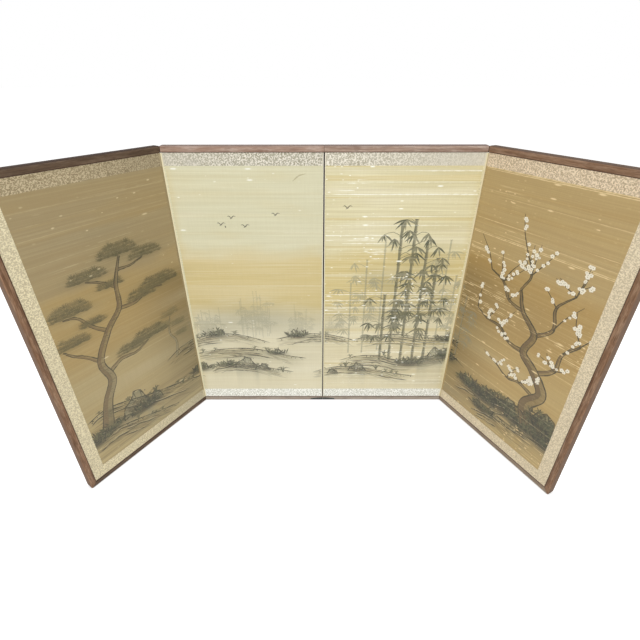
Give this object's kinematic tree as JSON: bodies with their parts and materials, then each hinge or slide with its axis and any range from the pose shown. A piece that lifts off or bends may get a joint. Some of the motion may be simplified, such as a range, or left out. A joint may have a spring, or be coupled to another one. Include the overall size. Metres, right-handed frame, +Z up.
{
  "type": "tabletop folding screen",
  "caption": "Tabletop folding screen: silk-faced lattice panels with brocade borders and wooden moulding, joined by folding paper hinges.",
  "frame": {"origin": "on the table, in the middle of the rectangle that the standing screen takes up at rest", "axes": "+X along the screen to the right as seen from the painted front, +Y to the back, +Z up"},
  "size_m": [0.9392, 0.279, 0.62],
  "materials": {
    "moulding_wood": "satin, stained and lightly lacquered, worn along the edges",
    "painted_silk": "plain woven silk with slubs, painted with ink and light colour",
    "brocade": "soft satin brocade with a scrolling figure",
    "core_wood": "planed, unfinished softwood",
    "lining_paper": "matte layered mulberry paper",
    "cover_paper": "matte printed paper with a small repeat",
    "hinge_paper": "smooth folded paper",
    "bamboo": "split bamboo",
    "guard_metal": "black lacquered thin sheet"
  },
  "bodies": {
    "panel_1": {"core_outer_stile_1": "core_wood", "core_inner_stile_1": "core_wood", "core_lattice_1": "core_wood", "front_lining_1": "lining_paper", "back_lining_1": "lining_paper", "painted_silk_1": "painted_silk", "top_border_1": "brocade", "bottom_border_1": "brocade", "back_cover_1": "cover_paper", "top_moulding_1": "moulding_wood", "bottom_moulding_1": "moulding_wood", "dowels_1": "bamboo", "outer_hinge_strips_1": "hinge_paper", "side_moulding_1": "moulding_wood", "side_border_1": "brocade"},
    "panel_2": {"core_outer_stile_2": "core_wood", "core_inner_stile_2": "core_wood", "core_lattice_2": "core_wood", "front_lining_2": "lining_paper", "back_lining_2": "lining_paper", "painted_silk_2": "painted_silk", "top_border_2": "brocade", "bottom_border_2": "brocade", "back_cover_2": "cover_paper", "top_moulding_2": "moulding_wood", "bottom_moulding_2": "moulding_wood", "dowels_2": "bamboo", "outer_hinge_strips_2": "hinge_paper", "centre_hinge_strips_2": "hinge_paper", "foot_guard_2": "guard_metal"},
    "panel_3": {"core_outer_stile_3": "core_wood", "core_inner_stile_3": "core_wood", "core_lattice_3": "core_wood", "front_lining_3": "lining_paper", "back_lining_3": "lining_paper", "painted_silk_3": "painted_silk", "top_border_3": "brocade", "bottom_border_3": "brocade", "back_cover_3": "cover_paper", "top_moulding_3": "moulding_wood", "bottom_moulding_3": "moulding_wood", "dowels_3": "bamboo", "outer_hinge_strips_3": "hinge_paper", "centre_hinge_strips_3": "hinge_paper", "foot_guard_3": "guard_metal"},
    "panel_4": {"core_outer_stile_4": "core_wood", "core_inner_stile_4": "core_wood", "core_lattice_4": "core_wood", "front_lining_4": "lining_paper", "back_lining_4": "lining_paper", "painted_silk_4": "painted_silk", "top_border_4": "brocade", "bottom_border_4": "brocade", "back_cover_4": "cover_paper", "top_moulding_4": "moulding_wood", "bottom_moulding_4": "moulding_wood", "dowels_4": "bamboo", "outer_hinge_strips_4": "hinge_paper", "side_moulding_4": "moulding_wood", "side_border_4": "brocade"}
  },
  "joints": [
    {"name": "fold_12", "type": "hinge", "parent": "panel_2", "child": "panel_1", "pos_m": [-0.28882, 0.12211, 0.31], "axis": [0, 0, 1], "range_deg": [-56.1, 123.9]},
    {"name": "fold_23", "type": "hinge", "parent": "panel_2", "child": "panel_3", "pos_m": [0.01118, 0.13991, 0.31], "axis": [0, 0, 1], "range_deg": [0, 180]},
    {"name": "fold_34", "type": "hinge", "parent": "panel_3", "child": "panel_4", "pos_m": [0.31118, 0.12211, 0.31], "axis": [0, 0, -1], "range_deg": [-61.3, 118.7]}
  ]
}
